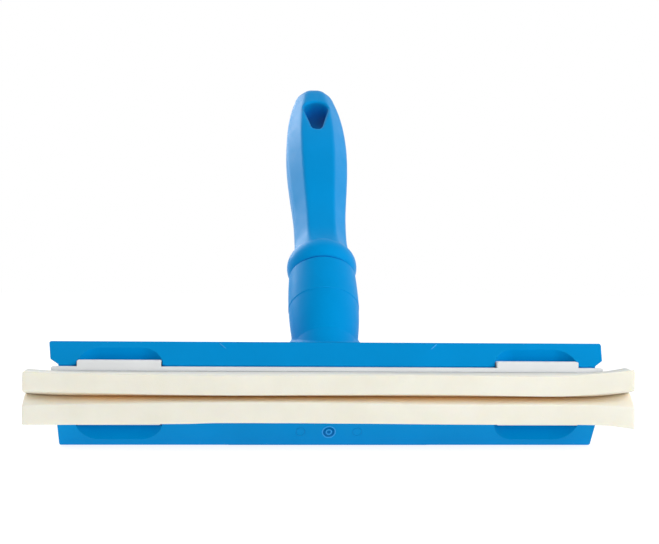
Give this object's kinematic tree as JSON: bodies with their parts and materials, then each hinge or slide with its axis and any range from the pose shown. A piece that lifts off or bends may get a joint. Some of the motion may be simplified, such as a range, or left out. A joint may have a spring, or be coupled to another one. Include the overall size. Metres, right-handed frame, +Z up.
{
  "type": "hand squeegee",
  "caption": "Hand squeegee: a bevelled moulded head holds a push-out cassette with twin foam blades, and a faceted screw-in grip with a hanging hole rises behind it.",
  "frame": {"origin": "middle of the flat underside of the head's bar, where the squeegee lies on a table", "axes": "+X along the blades, -Y towards the blade tips, +Z up, with the grip rising to the back"},
  "size_m": [0.25, 0.1619, 0.1662],
  "materials": {
    "blue_plastic": "satin injection-moulded polypropylene",
    "white_plastic": "satin white polypropylene",
    "cream_foam": "soft cellular rubber foam"
  },
  "bodies": {
    "head": {"head": "blue_plastic"},
    "handle": {"handle": "blue_plastic"},
    "cassette": {"cassette": "white_plastic", "blade_upper": "cream_foam", "blade_lower": "cream_foam"}
  },
  "joints": [
    {"name": "handle_unscrew", "type": "hinge", "parent": "head", "child": "handle", "pos_m": [0, 0.03353, 0.07115], "axis": [0, 0.6691, 0.7431], "range_deg": [0, 1530]},
    {"name": "cassette_push_out", "type": "slide", "parent": "head", "child": "cassette", "axis": [0, -1, 0], "range_m": [0, 0.023]}
  ]
}
